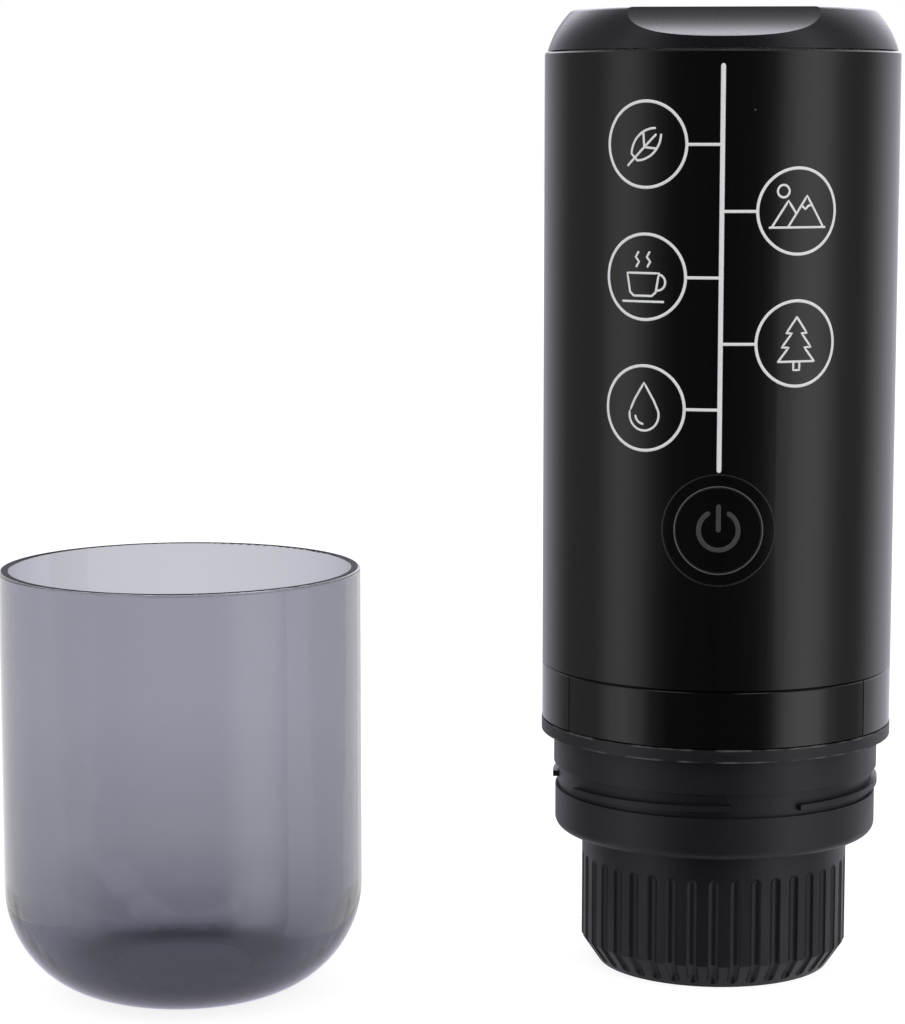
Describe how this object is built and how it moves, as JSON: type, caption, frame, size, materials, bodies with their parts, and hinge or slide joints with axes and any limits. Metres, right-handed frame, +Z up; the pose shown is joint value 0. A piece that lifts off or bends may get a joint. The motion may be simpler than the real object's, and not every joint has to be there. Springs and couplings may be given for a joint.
{
  "type": "portable coffee machine",
  "caption": "Battery coffee machine: a black upright tube with a screw lid, a round power button, a threaded collar and a fluted brew cap, with its clear smoked cup beside it.",
  "frame": {"origin": "on the floor, at the centre of the brew cap's base, on the machine's axis", "axes": "+Z up along the machine's axis, front with the power button towards -Y, the cup stands at -X"},
  "size_m": [0.1791, 0.1031, 0.1965],
  "materials": {
    "body_black": "gloss black",
    "gloss_black": "gloss",
    "matte_black": "fine matt",
    "lid_charcoal": "satin",
    "inner_black": "moulded",
    "inner_white": "moulded",
    "steel": "brushed",
    "ring_metal": "satin",
    "aluminium": "plain",
    "brass": "turned",
    "silicone": "soft",
    "silicone_red": "soft",
    "cell_sleeve": "shrink sleeve",
    "board_green": "coated",
    "tube_clear": "soft",
    "cup_smoke": "clear smoked plastic"
  },
  "bodies": {
    "machine": {"body_tube": "body_black", "band_ring": "gloss_black", "front_panel": "gloss_black", "collar": "matte_black", "top_ring": "inner_black", "tank_gasket": "silicone", "water_tank": "steel", "tank_cradle": "inner_white", "heater_plate": "aluminium", "temperature_sensor": "brass", "battery_cells": "cell_sleeve", "cell_tabs": "steel", "chassis_posts": "inner_black", "post_screws": "steel", "pump_deck": "inner_black", "deck_screws": "steel", "main_board": "board_green", "switch_case": "inner_black", "button_bezel": "gloss_black", "light_ring": "ring_metal", "charge_board": "board_green", "usb_socket": "steel", "motor_can": "steel", "motor_end_cap": "inner_white", "cam_pin": "steel", "pump_barrel": "inner_white", "barrel_plug": "brass", "pump_plunger": "steel", "plunger_spring": "steel", "suction_tube": "tube_clear", "delivery_tube": "tube_clear", "brew_head": "inner_black", "head_screws": "steel", "brew_needle": "steel", "shower_screen": "steel", "brew_gasket": "silicone_red"},
    "lid_seal": {"lid_seal": "silicone"},
    "lid": {"lid_shell": "lid_charcoal", "lid_plug": "inner_black"},
    "power_button": {"power_button": "gloss_black", "switch_pin": "inner_black"},
    "motor": {"motor_shaft": "steel", "pinion": "brass"},
    "cam": {"cam_gear": "inner_white"},
    "basket": {"capsule_basket": "aluminium"},
    "brew_cap": {"brew_cap": "matte_black"},
    "cup": {"cup": "cup_smoke"}
  },
  "joints": [
    {"name": "lid_rise", "type": "slide", "parent": "machine", "child": "lid_seal", "axis": [0, 0, 1], "range_m": [0, 0.0046]},
    {"name": "lid_turn", "type": "hinge", "parent": "lid_seal", "child": "lid", "pos_m": [0, 0, 0.19], "axis": [0, 0, 1], "range_deg": [0, 540]},
    {"name": "button_press", "type": "slide", "parent": "machine", "child": "power_button", "axis": [0, 1, 0], "range_m": [0, 0.0008], "stiffness_N_per_m": 1500, "springref_m": -0.0006},
    {"name": "cam_spin", "type": "hinge", "parent": "machine", "child": "cam", "pos_m": [-0.012, 0, 0.057], "axis": [0, 0, 1], "continuous": true},
    {"name": "motor_spin", "type": "hinge", "parent": "machine", "child": "motor", "pos_m": [0, 0, 0.08], "axis": [0, 0, 1], "continuous": true},
    {"name": "basket_drop", "type": "slide", "parent": "machine", "child": "basket", "axis": [0, 0, -1], "range_m": [0, 0.0061]},
    {"name": "cap_turn", "type": "hinge", "parent": "basket", "child": "brew_cap", "pos_m": [0, 0, 0.02], "axis": [0, 0, -1], "range_deg": [0, 540]},
    {"name": "cup_lift", "type": "slide", "parent": "machine", "child": "cup", "axis": [0, 0, 1], "range_m": [0, 0.06]}
  ],
  "couplings": [
    {"joint": "lid_rise", "follows": "lid_turn", "m_per_rad": 0.00047746},
    {"joint": "basket_drop", "follows": "cap_turn", "m_per_rad": 0.00063662},
    {"joint": "motor_spin", "follows": "cam_spin", "ratio": -3}
  ]
}
